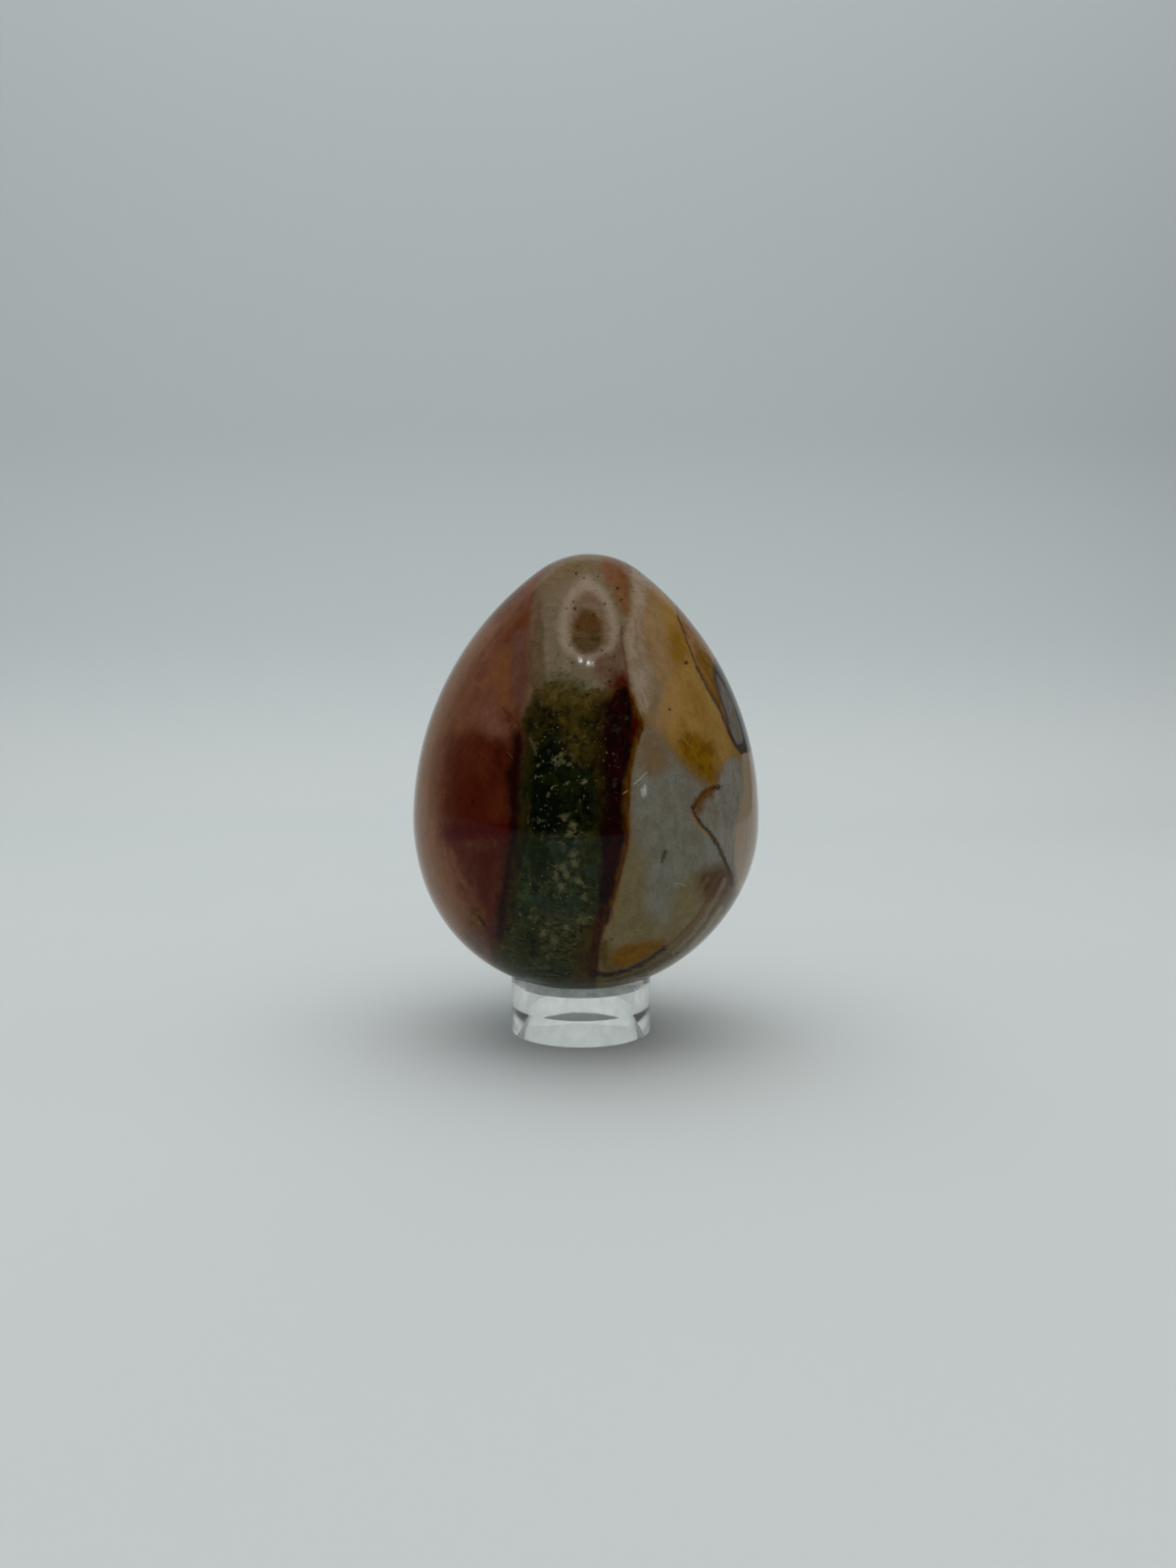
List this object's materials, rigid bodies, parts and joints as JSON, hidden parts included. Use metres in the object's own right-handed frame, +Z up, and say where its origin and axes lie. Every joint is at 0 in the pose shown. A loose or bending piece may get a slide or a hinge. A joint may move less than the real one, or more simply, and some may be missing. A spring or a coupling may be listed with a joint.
{
  "type": "decorative egg on stand",
  "caption": "Solid polished stone egg standing blunt end down in a short clear plastic ring with a tapered seat.",
  "frame": {"origin": "centre of the ring's base, on the surface that it stands on", "axes": "+Z up, through the ring's axis and the egg's belly; the pictured side faces -Y and the egg leans one degree towards +X"},
  "size_m": [0.0622, 0.0622, 0.0862],
  "materials": {
    "polished_stone": "polished, banded and mottled jasper in browns, greens, ochre and grey",
    "clear_acrylic": "clear, moulded, gloss"
  },
  "bodies": {
    "stand": {"ring_stand": "clear_acrylic"},
    "egg": {"polished_egg": "polished_stone"}
  },
  "joints": [
    {"name": "egg_lift", "type": "slide", "parent": "stand", "child": "egg", "axis": [0, 0, 1], "range_m": [0, 0.03]}
  ]
}
